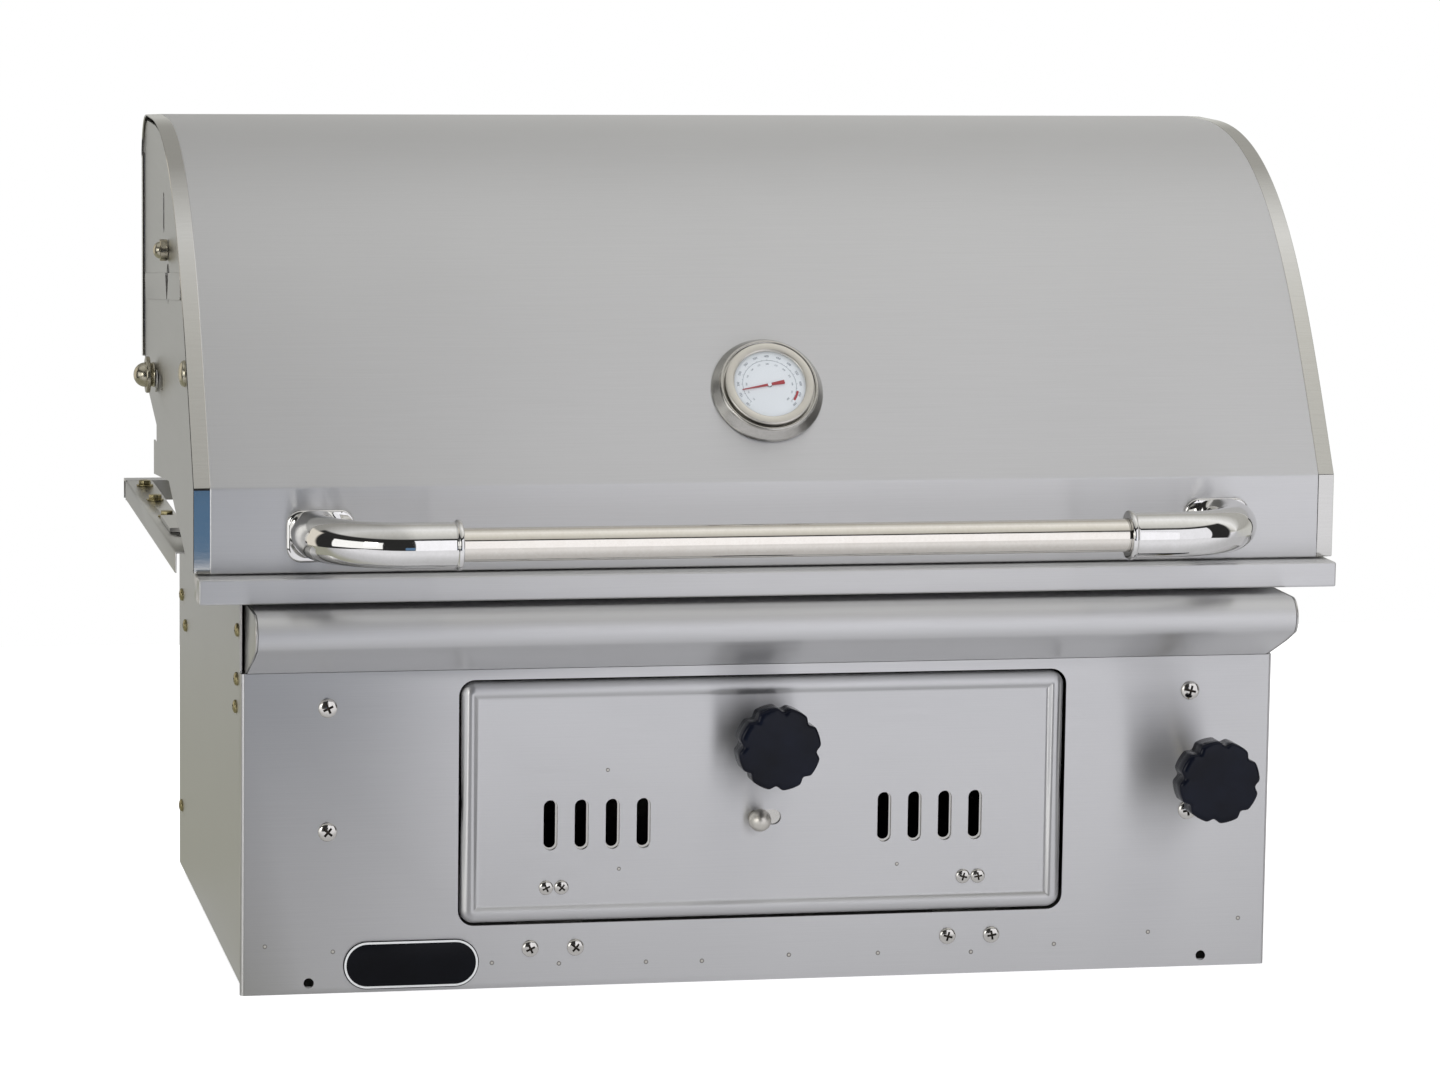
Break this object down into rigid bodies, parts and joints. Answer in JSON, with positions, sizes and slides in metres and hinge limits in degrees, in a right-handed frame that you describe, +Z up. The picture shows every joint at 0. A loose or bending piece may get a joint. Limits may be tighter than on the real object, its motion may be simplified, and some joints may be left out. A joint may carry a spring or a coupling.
{
  "type": "built-in charcoal grill",
  "caption": "Drop-in stainless charcoal grill with a curved hinged lid, a front access door with an air damper, and a charcoal tray that a front knob raises.",
  "frame": {"origin": "middle of the whole object's bounding box with the lid shut, at the underside of the front panel and the base pan", "axes": "+X to the right of someone who stands in front, +Y back into the grill, +Z up"},
  "size_m": [0.812, 0.6072, 0.5744],
  "materials": {
    "brushed_shell": "fine brushed stainless sheet",
    "liner_steel": "plain mill stainless sheet",
    "polished_steel": "polished stainless",
    "fastener_steel": "bright turned steel",
    "dark_steel": "heat-darkened steel",
    "black_plastic": "satin black heat-proof plastic",
    "dial_face": "matt white print ground",
    "needle_red": "red paint",
    "lens_glass": "clear flat glass"
  },
  "bodies": {
    "body": {"ash_pan": "liner_steel", "back_panel": "brushed_shell", "base_pan": "brushed_shell", "body_side_left": "brushed_shell", "body_side_right": "brushed_shell", "bullnose": "brushed_shell", "bullnose_cap_left": "brushed_shell", "bullnose_cap_right": "brushed_shell", "cooking_grate_centre": "dark_steel", "cooking_grate_left": "dark_steel", "cooking_grate_right": "dark_steel", "door_catch": "black_plastic", "door_hinge_bracket_left": "liner_steel", "door_hinge_bracket_right": "liner_steel", "firebox": "liner_steel", "front_panel": "brushed_shell", "hanger_bracket_left": "brushed_shell", "hanger_bracket_right": "brushed_shell", "hanger_rail_left": "brushed_shell", "hanger_rail_right": "brushed_shell", "hinge_arm_left": "brushed_shell", "hinge_arm_right": "brushed_shell", "ledge_front": "brushed_shell", "lid_pivot_left": "fastener_steel", "lid_pivot_right": "fastener_steel", "lift_guide_left": "liner_steel", "lift_guide_right": "liner_steel", "nameplate": "polished_steel", "rack_bracket_left": "liner_steel", "rack_bracket_right": "liner_steel", "rear_baffle": "liner_steel", "rear_rail": "brushed_shell", "warming_rack": "polished_steel"},
    "lid": {"lid_shell": "brushed_shell", "lid_liner": "liner_steel", "lid_side_left": "brushed_shell", "lid_side_right": "brushed_shell", "liner_bolt_left": "fastener_steel", "liner_bolt_right": "fastener_steel", "handle_bar": "polished_steel", "handle_elbow_left": "polished_steel", "handle_elbow_right": "polished_steel", "thermometer_ring": "brushed_shell", "thermometer_case": "fastener_steel", "thermometer_dial": "dial_face", "thermometer_lens": "lens_glass"},
    "needle": {"thermometer_needle": "needle_red"},
    "door": {"door_panel": "brushed_shell", "door_knob": "black_plastic", "damper_rail_upper": "liner_steel", "damper_rail_lower": "liner_steel", "door_hinge_leaf_left": "liner_steel", "door_hinge_leaf_right": "liner_steel"},
    "damper": {"damper_plate": "liner_steel", "damper_ball": "polished_steel"},
    "lift_drive": {"lift_knob": "black_plastic", "lift_shaft": "fastener_steel"},
    "lift_frame": {"lift_frame": "liner_steel"},
    "tray": {"charcoal_tray": "dark_steel"}
  },
  "joints": [
    {"name": "lid_hinge", "type": "hinge", "parent": "body", "child": "lid", "pos_m": [0, 0.07865, 0.392], "axis": [-1, 0, 0], "range_deg": [0, 90]},
    {"name": "door_hinge", "type": "hinge", "parent": "body", "child": "door", "pos_m": [0, -0.18655, 0.052], "axis": [1, 0, 0], "range_deg": [0, 90]},
    {"name": "damper_slide", "type": "slide", "parent": "door", "child": "damper", "axis": [1, 0, 0], "range_m": [0, 0.0107]},
    {"name": "height_knob", "type": "hinge", "parent": "body", "child": "lift_drive", "pos_m": [0.302, -0.19135, 0.1433], "axis": [0, 1, 0], "range_deg": [0, 1440]},
    {"name": "lift_frame_slide", "type": "slide", "parent": "body", "child": "lift_frame", "axis": [0, 1, 0], "range_m": [0, 0.06]},
    {"name": "tray_lift", "type": "slide", "parent": "body", "child": "tray", "axis": [0, 0, 1], "range_m": [0, 0.06]},
    {"name": "needle_turn", "type": "hinge", "parent": "lid", "child": "needle", "pos_m": [0, -0.17895, 0.4051], "axis": [0, 0.8434, -0.5373], "range_deg": [-24.3, 235.7]}
  ],
  "couplings": [
    {"joint": "height_knob", "follows": "lift_frame_slide", "rad_per_m": 418.88},
    {"joint": "tray_lift", "follows": "lift_frame_slide", "ratio": 1}
  ]
}
